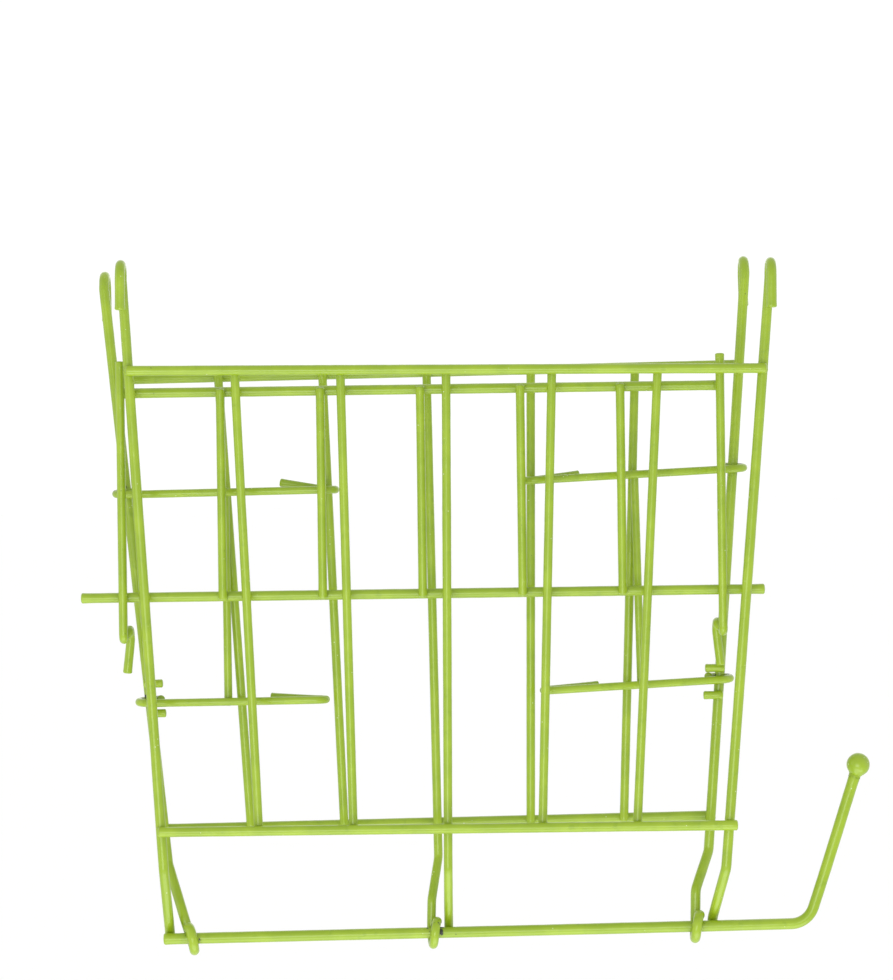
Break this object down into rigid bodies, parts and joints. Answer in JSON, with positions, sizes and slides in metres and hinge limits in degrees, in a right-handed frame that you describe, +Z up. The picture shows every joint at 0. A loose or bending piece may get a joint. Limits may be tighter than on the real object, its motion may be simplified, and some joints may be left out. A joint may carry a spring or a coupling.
{
  "type": "hay rack feeder",
  "caption": "Hinged wire hay rack with hook-over back panel, folding side wings, loose lid grid and upturned mineral hanger, folded flat.",
  "frame": {"origin": "midway between the seats of the two rear hooks, where they hang on the cage wire", "axes": "+X right along the bottom rod, +Y back to the cage, +Z up"},
  "size_m": [0.1958, 0.0336, 0.1736],
  "materials": {
    "powder_coat": "glossy lime green powder coat on steel wire, with a fine orange peel"
  },
  "bodies": {
    "back_panel": {"back_top_rail": "powder_coat", "back_lower_rail": "powder_coat", "back_grid_wire_1": "powder_coat", "back_grid_wire_2": "powder_coat", "back_grid_wire_3": "powder_coat", "back_grid_wire_4": "powder_coat", "back_left_outer_wire": "powder_coat", "back_right_outer_wire": "powder_coat", "back_centre_wire": "powder_coat", "lower_stop_peg_left": "powder_coat", "upper_stop_peg_left": "powder_coat", "lower_stop_peg_right": "powder_coat", "upper_stop_peg_right": "powder_coat"},
    "front_panel": {"front_top_rail": "powder_coat", "front_lower_rail": "powder_coat", "front_grid_wire_1": "powder_coat", "front_grid_wire_2": "powder_coat", "front_grid_wire_3": "powder_coat", "front_grid_wire_4": "powder_coat", "front_left_outer_wire": "powder_coat", "front_right_outer_wire": "powder_coat", "front_centre_wire": "powder_coat", "bottom_rod_with_hanger": "powder_coat", "hanger_ball": "powder_coat"},
    "lid": {"lid_top_rail": "powder_coat", "lid_lower_rail": "powder_coat", "lid_grid_wire_1": "powder_coat", "lid_grid_wire_2": "powder_coat", "lid_grid_wire_3": "powder_coat", "lid_grid_wire_4": "powder_coat", "lid_grid_wire_5": "powder_coat", "lid_left_hooked_wire": "powder_coat", "lid_right_hooked_wire": "powder_coat"},
    "left_wing": {"left_wing_upper_arm": "powder_coat", "left_wing_lower_arm": "powder_coat", "left_wing_tie": "powder_coat"},
    "right_wing": {"right_wing_upper_arm": "powder_coat", "right_wing_lower_arm": "powder_coat", "right_wing_tie": "powder_coat"}
  },
  "joints": [
    {"name": "front_open", "type": "hinge", "parent": "back_panel", "child": "front_panel", "pos_m": [0.0016, -0.01325, -0.16535], "axis": [1, 0, 0], "range_deg": [0, 60]},
    {"name": "left_wing_swing", "type": "hinge", "parent": "back_panel", "child": "left_wing", "pos_m": [-0.07169, -0.00365, -0.10665], "axis": [0.0867, 0, -0.9962], "range_deg": [0, 90]},
    {"name": "right_wing_swing", "type": "hinge", "parent": "back_panel", "child": "right_wing", "pos_m": [0.0719, -0.00365, -0.10425], "axis": [0.0867, 0, 0.9962], "range_deg": [0, 90]},
    {"name": "lid_lift", "type": "slide", "parent": "front_panel", "child": "lid", "axis": [0.0105, 0, 0.9999], "range_m": [0, 0.11]}
  ],
  "couplings": [
    {"joint": "left_wing_swing", "follows": "front_open", "ratio": 1.5},
    {"joint": "right_wing_swing", "follows": "front_open", "ratio": 1.5}
  ]
}
